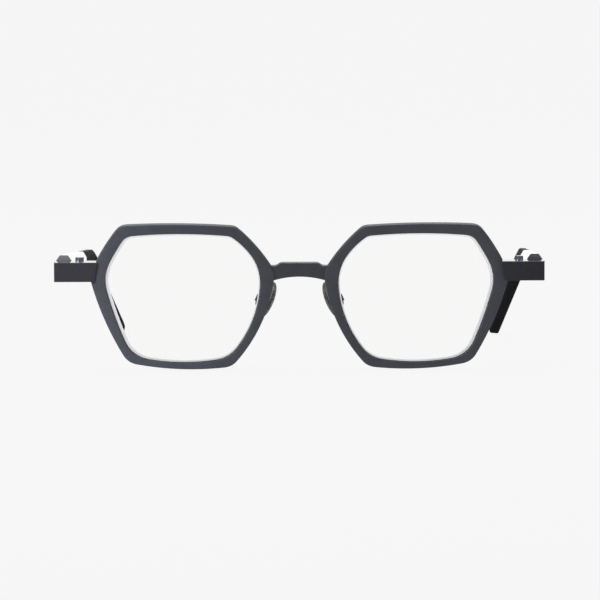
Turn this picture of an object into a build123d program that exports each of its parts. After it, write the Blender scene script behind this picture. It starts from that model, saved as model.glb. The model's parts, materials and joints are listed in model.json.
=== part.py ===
from build123d import *
from math import cos, radians, sin, tan
import os

os.makedirs("parts", exist_ok=True)

# Hexagonal eyeglasses. Each front piece is drawn with the front upright: X to the side, Y to the
# back, Z up, the lens openings centred on Z = 0 and the rims' front face at Y = 0. The finished
# pieces are then leaned over together until the glasses stand on the rims and the temple tips.
# Right is +X and left is -X, as seen from the front. The right half is drawn and mirrored.

# Lens opening
lens_width = 46.0
lens_height = 38.5
lens_gap = 22.8
groove_depth = 0.55
groove_width = 0.8
groove_front = 1.85

# Lens
lens_thickness = 2.0
lens_front_radius = 350.0
lens_back_radius = 320.0
lens_set_back = 0.5
lens_play = 0.03
bevel_break = 0.3
bevel_root = 1.0

# Rim, its width at each side of the opening and its depth
rim_nasal = 4.05
rim_temporal = 4.25
rim_top = 2.85
rim_bottom = 1.95
rim_depth = 3.6
rim_edge_break = 0.28

# Outlines as shares of their width and height, counted from the middle of their box. The corners
# run from the top nasal one down the nose side and round. Each bulge is the rise of the side that
# leaves its corner, and each radius rounds its corner, both as shares of the width.
opening_corner_shares = [
    (-0.306, 0.482),
    (-0.497, 0.214),
    (-0.291, -0.467),
    (0.330, -0.451),
    (0.513, 0.171),
    (0.366, 0.482),
]
opening_bulge_shares = [0.021, 0.066, 0.035, 0.016, 0.008, 0.016]
opening_radius_shares = [0.065, 0.297, 0.199, 0.200, 0.267, 0.096]
rim_corner_shares = [
    (-0.287, 0.484),
    (-0.502, 0.168),
    (-0.266, -0.483),
    (0.299, -0.453),
    (0.505, 0.146),
    (0.337, 0.492),
]
rim_bulge_shares = [0.0145, 0.049, 0.024, 0.021, 0.013, 0.0095]
rim_radius_shares = [0.058, 0.092, 0.098, 0.106, 0.092, 0.077]

# Bridge
bridge_top_z = 10.5
bridge_flat = 10.6
bridge_dip = 0.9
bridge_dip_run = 1.6
bridge_arch_z = 6.4
bridge_arch_rise = 1.7
bridge_recess = 0.45
bridge_depth = 2.8
bridge_corner_radius = 1.2
bridge_edge_break = 0.2

# Tongues of the bridge and the end pieces in the rims, and the screws that hold them
tongue_thickness = 1.4
tongue_height = 3.6
tongue_front = 1.15
tongue_reach = 2.4
tongue_play = 0.04
frame_screw_radius = 0.5
frame_screw_head_radius = 0.8
frame_screw_head_height = 0.5
frame_screw_spacing = 1.9
screw_slot_width = 0.25
screw_slot_depth = 0.25

# End piece, its reach counted from the rim's temporal side
end_reach = 10.65
end_centre_z = 8.15
end_height = 5.8
end_proud = 0.8
end_lap = 2.2
end_slant = 1.1
end_depth = 3.6
end_edge_break = 0.22

# Hinge, five knuckles on one screw. Its places are counted from the end piece's back face. The
# screw is tilted less than the temple, so a folded temple slopes down behind the lenses
pantoscopic_angle = 8.5
hinge_tilt = 6.5
hinge_inset = 7.4
hinge_behind = 1.6
knuckle_radius = 1.5
knuckle_height = 0.75
knuckle_gap = 0.05
knuckle_count = 5
hinge_bottom_z = -1.3
hinge_arm_width = 2.0
hinge_screw_radius = 0.65
hinge_running_play = 0.04
hinge_head_radius = 1.25
hinge_head_height = 0.5
front_leaf_width = 3.8
front_leaf_thickness = 0.8
temple_leaf_length = 11.5
temple_leaf_thickness = 0.9
temple_leaf_inlay = 0.45
rivet_radius = 0.55
rivet_head_radius = 0.9
rivet_head_height = 0.4
rivet_length = 2.9
rivet_first = 4.4
rivet_spacing = 4.6

# Temple
temple_outer_inset = 0.45
temple_butt_gap = 0.08
temple_top_z = 4.5
temple_front_thickness = 4.8
temple_front_height = 5.1
temple_bend_thickness = 3.6
temple_bend_height = 5.2
temple_tip_thickness = 3.0
temple_tip_height = 5.6
temple_straight = 103.0
temple_tip_run = 28.6
temple_bend_radius = 20.0
temple_drop_angle = 40.0
temple_inward_angle = 13.0
temple_tip_round = 0.5
resting_fold_right = 0.45
resting_fold_left = 2.2
top_bevel_width_share = 0.25
top_bevel_height_share = 0.33
bottom_bevel_share = 0.12

# Steel core wire inside the temple
core_radius = 0.7
core_start = 15.0
core_tip_cover = 6.0

# Nose pad, drawn with its nose face at X = 0, its long way up and its width front to back
pad_length = 11.8
pad_width = 7.2
pad_thickness = 1.4
pad_crown_radius = 45.0
pad_edge_round = 0.3
pad_inset = 2.3
pad_centre_y = 8.8
pad_centre_z = -2.2
pad_frontal_angle = 24.0
pad_splay_angle = 25.0
insert_length = 6.4
insert_width = 2.8
insert_thickness = 0.4
insert_cover = 0.45
tab_thickness = 0.9
tab_radius = 0.85
pad_screw_back = 2.6
pad_screw_drop = 0.3
pad_screw_radius = 0.5
pad_screw_head_radius = 0.8
pad_screw_head_height = 0.35
pad_running_play = 0.03
cheek_radius = 1.0
cheek_thickness = 0.6
cheek_play = 0.06
cheek_wall = 0.5

# Pad arm, a bent wire from a foot on the rim's back to the pad's box
wire_radius = 0.5
wire_bend_radius = 0.9
wire_foot_inset = 0.1
wire_foot_z = -3.1
wire_stand_off = 2.2
wire_loop_offset = 1.4
wire_loop_y = 6.5
foot_length = 2.6
foot_width = 1.7
foot_thickness = 0.5

# Overrun of cuts past a face
overrun = 1.0

# Places worked out from the sizes above
lens_centre_x = (lens_gap + lens_width) / 2
rim_width = lens_width + rim_nasal + rim_temporal
rim_height = lens_height + rim_top + rim_bottom
rim_centre_x = lens_centre_x + (rim_temporal - rim_nasal) / 2
rim_centre_z = (rim_top - rim_bottom) / 2
rim_nasal_x = lens_gap / 2 - rim_nasal
rim_temporal_x = lens_gap / 2 + lens_width + rim_temporal
end_outer_x = rim_temporal_x + end_reach
pad_centre_x = lens_gap / 2 - pad_inset
wire_foot_x = lens_gap / 2 - wire_foot_inset
wire_loop_x = wire_foot_x + wire_loop_offset
bridge_dip_z = bridge_top_z - bridge_dip
bridge_end_z = bridge_arch_z - bridge_arch_rise
bridge_tongue_z = (bridge_dip_z + bridge_end_z) / 2
bridge_tongue_x = rim_nasal_x + tongue_reach
bridge_screw_x = bridge_tongue_x - frame_screw_head_radius - tongue_play
end_top_z = end_centre_z + end_height / 2
end_bottom_z = end_centre_z - end_height / 2
end_tongue_x = rim_temporal_x - tongue_reach - frame_screw_radius
end_screw_x = end_tongue_x + frame_screw_head_radius + tongue_play
end_back = end_depth - end_proud
hinge_x = end_outer_x - hinge_inset
temple_centre_x = end_outer_x - temple_outer_inset - temple_front_thickness / 2
temple_inner_x = temple_centre_x - temple_front_thickness / 2
temple_centre_z = temple_top_z - temple_front_height / 2
knuckle_pitch = knuckle_height + knuckle_gap
hinge_top_z = hinge_bottom_z + knuckle_count * knuckle_pitch - knuckle_gap
temple_leaf_bottom_z = hinge_bottom_z + knuckle_pitch
temple_leaf_top_z = hinge_top_z - knuckle_pitch

# In the hinge's frame the end piece's back face is Y = 0 and the screw stands along Z. In the
# temple's frame the temple runs back along Y.
hinge_frame = Pos(0, end_back, end_centre_z) * Rot(X=-hinge_tilt)
temple_frame = Pos(0, end_back, end_centre_z) * Rot(X=-pantoscopic_angle)
pad_frame = (
    Pos(pad_centre_x, pad_centre_y, pad_centre_z)
    * Rot(Y=-pad_frontal_angle)
    * Rot(Z=-pad_splay_angle)
)


def hexagon(width, height, centre, corner_shares, bulge_shares, radius_shares):
    """A six-sided face with bulging sides and rounded corners, drawn flat."""
    corners = [
        Vector(centre[0] + across * width, centre[1] + up * height) for across, up in corner_shares
    ]
    sides = []
    for number, start in enumerate(corners):
        end = corners[(number + 1) % len(corners)]
        along = (end - start).normalized()
        outward = Vector(along.Y, -along.X)
        middle = (start + end) / 2 + outward * bulge_shares[number] * width
        sides.append(ThreePointArc(start, middle, end))
    face = make_face(sides)
    for corner, share in zip(corners, radius_shares):
        face = fillet(face.vertices().sort_by_distance(corner)[0], share * width)
    return face


def slab(face, front, back):
    """A prism of a face drawn in the front's plane, between two depths."""
    return Pos(0, front, 0) * extrude(Plane.XZ * face, amount=back - front, dir=(0, 1, 0))


def block(x_range, y_range, z_range):
    """A box between two limits along each axis."""
    spans = [high - low for low, high in (x_range, y_range, z_range)]
    middles = [(low + high) / 2 for low, high in (x_range, y_range, z_range)]
    return Pos(*middles) * Box(*spans)


def upright(radius, bottom, top):
    """A cylinder along Z between two heights."""
    return Pos(0, 0, (bottom + top) / 2) * Cylinder(radius, top - bottom)


def lengthwise(radius, front, back):
    """A cylinder along Y between two depths."""
    return Pos(0, (front + back) / 2, 0) * Rot(X=90) * Cylinder(radius, back - front)


def crosswise(radius, start, end):
    """A cylinder along X between two places."""
    return Pos((start + end) / 2, 0, 0) * Rot(Y=90) * Cylinder(radius, end - start)


def opening_face(outset):
    """The lens opening's outline, wider by an outset on every side."""
    return hexagon(
        lens_width + 2 * outset,
        lens_height + 2 * outset,
        (lens_centre_x, 0),
        opening_corner_shares,
        opening_bulge_shares,
        opening_radius_shares,
    )


rim_face = hexagon(
    rim_width,
    rim_height,
    (rim_centre_x, rim_centre_z),
    rim_corner_shares,
    rim_bulge_shares,
    rim_radius_shares,
)
groove_back = groove_front + groove_width


def frame_screw_blanks(x, middle_z):
    """Two headed pins from the rim's back into a tongue, one above the other."""
    shank = lengthwise(frame_screw_radius, tongue_front, rim_depth)
    head = lengthwise(frame_screw_head_radius, rim_depth - frame_screw_head_height, rim_depth)
    half = frame_screw_spacing / 2
    return [Pos(x, 0, middle_z + step) * (shank + head) for step in (-half, half)]


def frame_screws(x, middle_z):
    """The two screws with their slots."""
    slot = block(
        (-frame_screw_head_radius, frame_screw_head_radius),
        (rim_depth - screw_slot_depth, rim_depth + overrun),
        (-screw_slot_width / 2, screw_slot_width / 2),
    )
    half = frame_screw_spacing / 2
    slots = [Pos(x, 0, middle_z + step) * slot for step in (-half, half)]
    return [blank - cut for blank, cut in zip(frame_screw_blanks(x, middle_z), slots)]


def tongue(inner_x, outer_x, middle_z, play):
    """A flat tongue let into the rim's side, with play all round for its pocket."""
    half = tongue_height / 2 + play
    return block(
        (inner_x - play, outer_x + play),
        (tongue_front - play, tongue_front + tongue_thickness + play),
        (middle_z - half, middle_z + half),
    )


def make_rim():
    """A rim with the groove for its lens, the pockets for both tongues and their screw holes."""
    rim = slab(rim_face, 0, rim_depth) - slab(opening_face(0), -overrun, rim_depth + overrun)
    rim = chamfer(rim.edges().group_by(Axis.Y)[0], rim_edge_break)
    rim -= slab(opening_face(groove_depth), groove_front, groove_back)
    rim -= tongue(bridge_tongue_x - 2 * tongue_reach, bridge_tongue_x, bridge_tongue_z, tongue_play)
    rim -= tongue(end_tongue_x, end_tongue_x + 2 * tongue_reach, end_centre_z, tongue_play)
    for blank in frame_screw_blanks(bridge_screw_x, bridge_tongue_z):
        rim -= blank
    for blank in frame_screw_blanks(end_screw_x, end_centre_z):
        rim -= blank
    return rim


def make_lens():
    """A thin curved lens with a bevelled tongue round its edge that sits in the rim's groove."""
    front_ball = Pos(lens_centre_x, lens_set_back + lens_front_radius, 0) * Sphere(lens_front_radius)
    back_middle = lens_set_back + lens_thickness + lens_back_radius
    back_ball = Pos(lens_centre_x, back_middle, 0) * Sphere(lens_back_radius)
    blank = slab(opening_face(-lens_play), 0, rim_depth + lens_thickness)
    body = (blank & front_ball) - back_ball
    bevel = slab(
        opening_face(groove_depth - lens_play),
        groove_front + lens_play,
        groove_back - lens_play,
    )
    bevel = chamfer(
        bevel.edges().group_by(Axis.Y)[0] + bevel.edges().group_by(Axis.Y)[-1], bevel_break
    )
    bevel -= slab(opening_face(-bevel_root), 0, rim_depth + overrun)
    return body + bevel


def make_bridge():
    """The bar between the rims, arched below, with a tongue into each rim."""
    half_flat = bridge_flat / 2
    half_span = rim_nasal_x + rim_nasal / 2
    outline = [
        Line((-half_flat, bridge_top_z), (half_flat, bridge_top_z)),
        Line((half_flat, bridge_top_z), (half_flat + bridge_dip_run, bridge_dip_z)),
        Line((half_flat + bridge_dip_run, bridge_dip_z), (half_span, bridge_dip_z)),
        Line((half_span, bridge_dip_z), (half_span, bridge_end_z)),
        ThreePointArc((half_span, bridge_end_z), (0, bridge_arch_z), (-half_span, bridge_end_z)),
        Line((-half_span, bridge_end_z), (-half_span, bridge_dip_z)),
        Line((-half_span, bridge_dip_z), (-half_flat - bridge_dip_run, bridge_dip_z)),
        Line((-half_flat - bridge_dip_run, bridge_dip_z), (-half_flat, bridge_top_z)),
    ]
    face = make_face(outline)
    for side in (-1, 1):
        for x, z in ((half_flat, bridge_top_z), (half_flat + bridge_dip_run, bridge_dip_z)):
            corner = face.vertices().sort_by_distance((side * x, z))[0]
            face = fillet(corner, bridge_corner_radius)
    bar = slab(face, bridge_recess, bridge_recess + bridge_depth)
    bar = chamfer(bar.edges().group_by(Axis.Y)[0], bridge_edge_break)
    rim_blank = slab(rim_face, -overrun, rim_depth + overrun)
    lug = tongue(rim_nasal_x - tongue_reach, bridge_tongue_x, bridge_tongue_z, 0)
    holes = frame_screw_blanks(bridge_screw_x, bridge_tongue_z)
    bridge = bar - rim_blank - mirror(rim_blank, about=Plane.YZ)
    bridge += lug + mirror(lug, about=Plane.YZ)
    for hole in holes:
        bridge -= hole
        bridge -= mirror(hole, about=Plane.YZ)
    return bridge


def make_end_piece():
    """The block beside a rim, proud of it in front, with a tongue into the rim behind its lip."""
    inner_bottom_x = rim_temporal_x - end_lap + end_slant
    face = make_face(
        Polyline(
            (inner_bottom_x - end_slant, end_top_z),
            (end_outer_x, end_top_z),
            (end_outer_x, end_bottom_z),
            (inner_bottom_x, end_bottom_z),
            close=True,
        )
    )
    body = slab(face, -end_proud, end_depth + overrun)
    body = chamfer(body.edges().group_by(Axis.Y)[0], end_edge_break)
    reach = end_depth + end_height
    body -= hinge_frame * block((0, end_outer_x + overrun), (0, reach), (-reach, reach))
    body -= slab(rim_face, 0, rim_depth + overrun)
    body += tongue(end_tongue_x, rim_temporal_x + frame_screw_radius, end_centre_z, 0)
    body -= hinge_frame * front_leaf_plate()
    for hole in frame_screw_blanks(end_screw_x, end_centre_z):
        body -= hole
    return body


def front_leaf_plate():
    """The front leaf's plate, let in flush with the end piece's back face."""
    return block(
        (hinge_x - front_leaf_width / 2, hinge_x + front_leaf_width / 2),
        (-front_leaf_thickness, 0),
        (hinge_bottom_z, hinge_top_z),
    )


def temple_leaf_plate():
    """The temple leaf's plate, half let into the temple's inner side."""
    inlaid_x = temple_inner_x + temple_leaf_inlay
    return block(
        (inlaid_x - temple_leaf_thickness, inlaid_x),
        (temple_butt_gap, temple_leaf_length),
        (temple_leaf_bottom_z, temple_leaf_top_z),
    )


def knuckles(numbers, arm, bore):
    """Some of the hinge's knuckles, each with its arm and with a bore along the hinge's axis."""
    pieces = []
    for number in numbers:
        bottom = hinge_bottom_z + number * knuckle_pitch
        barrel = Pos(hinge_x, hinge_behind, 0) * upright(knuckle_radius, bottom, bottom + knuckle_height)
        pieces.append(barrel + block(arm[0], arm[1], (bottom, bottom + knuckle_height)))
    screw_space = upright(bore, hinge_bottom_z - overrun, hinge_top_z + overrun)
    return [piece - Pos(hinge_x, hinge_behind, 0) * screw_space for piece in pieces]


def make_front_leaf():
    """The hinge leaf on the end piece, with the outer and middle knuckles."""
    half = hinge_arm_width / 2
    arm = ((hinge_x - half, hinge_x + half), (-front_leaf_thickness, hinge_behind))
    leaf = front_leaf_plate()
    for knuckle in knuckles(range(0, knuckle_count, 2), arm, hinge_screw_radius):
        leaf += knuckle
    return hinge_frame * leaf


def make_temple_leaf():
    """The hinge leaf on the temple, with the two knuckles between the front leaf's."""
    half = hinge_arm_width / 2
    arm = ((hinge_x, temple_inner_x), (hinge_behind - half, hinge_behind + half))
    leaf = temple_frame * temple_leaf_plate()
    for knuckle in knuckles(range(1, knuckle_count, 2), arm, hinge_screw_radius + hinge_running_play):
        leaf += hinge_frame * knuckle
    for rivet in rivets():
        leaf -= temple_frame * rivet
    return leaf


def make_hinge_screw():
    """The hinge's screw, with a slotted head on the top knuckle."""
    shank = upright(hinge_screw_radius, hinge_bottom_z, hinge_top_z)
    head = upright(hinge_head_radius, hinge_top_z, hinge_top_z + hinge_head_height)
    slot = block(
        (-hinge_head_radius, hinge_head_radius),
        (-screw_slot_width / 2, screw_slot_width / 2),
        (hinge_top_z + hinge_head_height - screw_slot_depth, hinge_top_z + hinge_head_height + overrun),
    )
    return hinge_frame * Pos(hinge_x, hinge_behind, 0) * (shank + head - slot)


def rivets():
    """Two rivets through the temple leaf into the temple, their heads flush with the leaf."""
    leaf_face_x = temple_inner_x + temple_leaf_inlay - temple_leaf_thickness
    shank = crosswise(rivet_radius, leaf_face_x, leaf_face_x + rivet_length)
    head = crosswise(rivet_head_radius, leaf_face_x, leaf_face_x + rivet_head_height)
    middle_z = (temple_leaf_bottom_z + temple_leaf_top_z) / 2
    return [
        Pos(0, rivet_first + number * rivet_spacing, middle_z) * (shank + head)
        for number in range(2)
    ]


def temple_section(y, thickness, height):
    """The temple's section square to its length: broad bevels above, narrow ones below."""
    side = thickness / 2
    end = height / 2
    bevel_width = top_bevel_width_share * thickness
    bevel_height = top_bevel_height_share * height
    lower_bevel = bottom_bevel_share * thickness
    outline = Polyline(
        (side, lower_bevel - end),
        (side, end - bevel_height),
        (side - bevel_width, end),
        (bevel_width - side, end),
        (-side, end - bevel_height),
        (-side, lower_bevel - end),
        (lower_bevel - side, -end),
        (side - lower_bevel, -end),
        close=True,
    )
    return section_plane(y) * make_face(outline)


def core_section(y):
    """The core wire's round section."""
    return section_plane(y) * Circle(core_radius)


def section_plane(y):
    """The plane across the temple's straight part at one place along it."""
    return Plane(origin=(temple_centre_x, y, temple_centre_z), x_dir=(1, 0, 0), z_dir=(0, -1, 0))


def bent_bar(front_section, bend_section, tip_section, tip_run):
    """A bar that runs straight back, turns down and inward on one arc and runs on to its tip."""
    drop = radians(temple_drop_angle)
    inward = radians(temple_inward_angle)
    tip_way = Vector(-sin(inward), cos(inward) * cos(drop), -cos(inward) * sin(drop))
    turn = tip_way.get_angle(Vector(0, 1, 0))
    into_bend = Vector(tip_way.X, 0, tip_way.Z).normalized()
    bend_start = Vector(temple_centre_x, temple_straight, temple_centre_z)
    centre = bend_start + into_bend * temple_bend_radius
    axis = Axis(centre, Vector(0, 1, 0).cross(into_bend))
    straight = loft([front_section, bend_section], ruled=True)
    bend = revolve(bend_section, axis=axis, revolution_arc=turn)
    tip_root = bend_section.rotate(axis, turn)
    tip_end = Pos(*(tip_way * tip_run)) * tip_section.rotate(axis, turn)
    tip = loft([tip_root, tip_end], ruled=True)
    return straight + bend + tip


def make_core():
    """The steel core wire, from behind the hinge to near the temple's tip."""
    section = core_section(temple_straight)
    return bent_bar(core_section(core_start), section, section, temple_tip_run - core_tip_cover)


def make_temple():
    """The temple with its leaf's seat, rivet holes and the channel that the core wire fills.

    Its front end is cut parallel to the end piece's back face.
    """
    bend_section = temple_section(temple_straight, temple_bend_thickness, temple_bend_height)
    temple = bent_bar(
        temple_section(-overrun, temple_front_thickness, temple_front_height),
        bend_section,
        temple_section(temple_straight, temple_tip_thickness, temple_tip_height),
        temple_tip_run,
    )
    tip_face = temple.faces().sort_by(Axis.Y)[-1]
    temple = fillet(tip_face.edges(), temple_tip_round)
    temple -= make_core()
    temple -= temple_leaf_plate()
    for rivet in rivets():
        temple -= rivet
    height = temple_front_height
    before_butt = block((0, end_outer_x), (-height, temple_butt_gap), (-height, height))
    return temple_frame * temple - hinge_frame * before_butt


def pad_screw_place():
    """The pad screw's place in the pad's own frame."""
    return Pos(pad_screw_back, 0, -pad_screw_drop)


def make_insert():
    """The plate moulded into the pad and the tab that stands out of the pad's back."""
    plate = block(
        (insert_cover, insert_cover + insert_thickness),
        (-insert_width / 2, insert_width / 2),
        (-pad_screw_drop - insert_length / 2, insert_length / 2 - pad_screw_drop),
    )
    neck = block(
        (insert_cover, pad_screw_back),
        (-tab_thickness / 2, tab_thickness / 2),
        (-pad_screw_drop - tab_radius, tab_radius - pad_screw_drop),
    )
    eye = pad_screw_place() * lengthwise(tab_radius, -tab_thickness / 2, tab_thickness / 2)
    bore = pad_screw_place() * lengthwise(pad_screw_radius + pad_running_play, -overrun, overrun)
    return plate + neck + eye - bore


def make_pad():
    """An oval nose pad, crowned on its nose side, moulded round the insert."""
    oval = Plane.YZ * Ellipse(pad_width / 2, pad_length / 2)
    blank = extrude(oval, amount=pad_thickness, dir=(1, 0, 0))
    crown = Pos(pad_crown_radius, 0, 0) * Sphere(pad_crown_radius)
    pad = blank & crown
    pad = fillet(pad.edges(), pad_edge_round)
    return pad - make_insert()


def make_pad_screw():
    """The screw that the pad rocks on."""
    reach = tab_thickness / 2 + cheek_play + cheek_thickness
    shank = lengthwise(pad_screw_radius, -reach, reach)
    head = lengthwise(pad_screw_head_radius, reach, reach + pad_screw_head_height)
    slot = block(
        (-pad_screw_head_radius, pad_screw_head_radius),
        (reach + pad_screw_head_height - screw_slot_depth, reach + pad_screw_head_height + overrun),
        (-screw_slot_width / 2, screw_slot_width / 2),
    )
    return pad_frame * pad_screw_place() * (shank + head - slot)


def make_pad_arm():
    """The pad arm: a foot on the rim's back, a bent wire and the box that holds the pad's tab."""
    inside = tab_thickness / 2 + cheek_play
    outside = inside + cheek_thickness
    wall_start = tab_radius + cheek_play
    cheeks = lengthwise(cheek_radius, -outside, outside)
    cheeks += block((0, wall_start + cheek_wall), (-outside, outside), (-cheek_radius, cheek_radius))
    cheeks -= lengthwise(pad_screw_radius, -outside - overrun, outside + overrun)
    box_place = pad_frame * pad_screw_place()
    wire_end = (box_place * Pos(wall_start + cheek_wall / 2, 0, -cheek_radius / 2)).position
    path = FilletPolyline(
        (wire_foot_x, rim_depth + foot_thickness / 2, wire_foot_z),
        (wire_foot_x, rim_depth + wire_stand_off, wire_foot_z),
        (wire_loop_x, wire_loop_y, wire_foot_z),
        wire_end,
        radius=wire_bend_radius,
    )
    start = Plane(origin=path @ 0, z_dir=path % 0)
    wire = sweep(start * Circle(wire_radius), path=path)
    foot_face = SlotOverall(foot_length, foot_width, rotation=90)
    foot = slab(Pos(wire_foot_x, wire_foot_z) * foot_face, rim_depth, rim_depth + foot_thickness)
    arm = foot + wire + box_place * cheeks
    inner_space = block((-cheek_radius - overrun, wall_start), (-inside, inside), (-outside, outside))
    return arm - box_place * inner_space


def both_sides(name, piece):
    """A right piece and its mirrored left twin, each under its own name."""
    return {name + "_right": piece, name + "_left": mirror(piece, about=Plane.YZ)}


def folded(piece, angle):
    """A right temple's piece turned inward about the hinge screw, by an angle in degrees."""
    pin = hinge_frame * Pos(hinge_x, hinge_behind, 0)
    return pin * Rot(Z=angle) * pin.inverse() * piece


def both_temples(name, piece):
    """A temple's piece on both sides, each with the slight fold that its temple rests at."""
    return {
        name + "_right": folded(piece, resting_fold_right),
        name + "_left": mirror(folded(piece, resting_fold_left), about=Plane.YZ),
    }


def group(pieces):
    """Separate solids under one name."""
    return Compound([piece.solid() for piece in pieces])


def mirrored_group(pieces):
    """The right pieces and their mirrored twins as one group of separate solids."""
    twins = [mirror(piece, about=Plane.YZ) for piece in pieces]
    return group(pieces + twins)


nodes = {"bridge": make_bridge()}
nodes |= both_sides("rim", make_rim())
nodes |= both_sides("lens", make_lens())
nodes |= both_sides("end_piece", make_end_piece())
nodes |= both_sides("front_hinge_leaf", make_front_leaf())
nodes |= both_temples("temple_hinge_leaf", make_temple_leaf())
nodes |= both_temples("temple", make_temple())
nodes |= both_temples("temple_core_wire", temple_frame * make_core())
nodes |= both_temples("hinge_rivets", temple_frame * group(rivets()))
nodes |= both_sides("nose_pad", pad_frame * make_pad())
nodes |= both_sides("nose_pad_insert", pad_frame * make_insert())
nodes |= both_sides("pad_arm", make_pad_arm())
nodes["bridge_screws"] = mirrored_group(frame_screws(bridge_screw_x, bridge_tongue_z))
nodes["end_piece_screws"] = mirrored_group(frame_screws(end_screw_x, end_centre_z))
nodes["hinge_screws"] = mirrored_group([make_hinge_screw()])
nodes["pad_screws"] = mirrored_group([make_pad_screw()])


def lowest(piece, lean):
    """How low a piece reaches once the glasses lean by an angle."""
    return (Rot(X=lean) * piece).bounding_box().min.Z


# The lean at which the rims and the temple tips stand on one plane, found by stepping
lean = pantoscopic_angle / 2
span = temple_straight + temple_tip_run
for attempt in range(6):
    step = lowest(nodes["temple_right"], lean) - lowest(nodes["rim_right"], lean)
    lean -= step / span / radians(1)

leaned = {name: Rot(X=lean) * piece for name, piece in nodes.items()}
boxes = [piece.bounding_box() for piece in leaned.values()]
front_y = min(box.min.Y for box in boxes)
back_y = max(box.max.Y for box in boxes)
bottom_z = min(box.min.Z for box in boxes)
stand = Pos(0, -(front_y + back_y) / 2, -bottom_z)
for name, piece in leaned.items():
    export_step(stand * piece, "parts/" + name + ".step")

rest = stand * Rot(X=lean)
hinge_place = rest * hinge_frame * Pos(hinge_x, hinge_behind, 0)
pad_place = rest * pad_frame * pad_screw_place()
print("lean", lean)
print("depth", back_y - front_y, "height", max(box.max.Z for box in boxes) - bottom_z)
print("hinge at", hinge_place.position, "axis", Plane(hinge_place).z_dir)
print("pad screw at", pad_place.position, "axis", Plane(pad_place).y_dir)
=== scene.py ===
"""Hexagonal eyeglasses: the finished surfaces of every piece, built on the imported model."""

import json
import logging
import math
from collections.abc import Callable, Sequence
from dataclasses import dataclass
from enum import Enum

import bmesh
import bpy
from mathutils import Matrix, Vector
from mathutils.bvhtree import BVHTree


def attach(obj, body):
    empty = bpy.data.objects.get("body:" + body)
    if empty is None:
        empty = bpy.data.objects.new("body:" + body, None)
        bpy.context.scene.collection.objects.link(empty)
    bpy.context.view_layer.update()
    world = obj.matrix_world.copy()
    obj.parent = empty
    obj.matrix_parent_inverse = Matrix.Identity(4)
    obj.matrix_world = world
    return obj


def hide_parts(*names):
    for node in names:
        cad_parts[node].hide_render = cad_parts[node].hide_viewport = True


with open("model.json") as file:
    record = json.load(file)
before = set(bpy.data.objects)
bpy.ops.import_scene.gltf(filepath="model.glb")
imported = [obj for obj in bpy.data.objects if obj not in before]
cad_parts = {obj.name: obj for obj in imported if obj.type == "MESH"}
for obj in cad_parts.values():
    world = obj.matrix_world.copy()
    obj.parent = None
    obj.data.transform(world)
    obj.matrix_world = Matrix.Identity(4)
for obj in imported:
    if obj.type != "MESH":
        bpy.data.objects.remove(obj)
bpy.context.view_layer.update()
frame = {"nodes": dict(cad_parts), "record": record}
MM = 0.001
LOG = logging.getLogger("eyeglasses")

Span = tuple[float, float]
Triple = tuple[float, float, float]
Socket = bpy.types.NodeSocket
Vertices = Sequence[bmesh.types.BMVert]

SIDEWAYS = Vector((1.0, 0.0, 0.0))
BACKWARD = Vector((0.0, 1.0, 0.0))
UPWARD = Vector((0.0, 0.0, 1.0))
NOISE_MIDDLE: Span = (0.3, 0.7)


class Side(Enum):
    """The two halves, named as seen from the front."""

    RIGHT = 1
    LEFT = -1

    def node(self, stem: str) -> str:
        """The name of the side's own node, body or piece."""
        return f"{stem}_{self.name.lower()}"

    @property
    def place(self) -> Matrix:
        """Carries the right half's upright axes to this side of the model."""
        return FRONT @ Matrix.Diagonal((self.value, 1.0, 1.0, 1.0))


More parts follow.
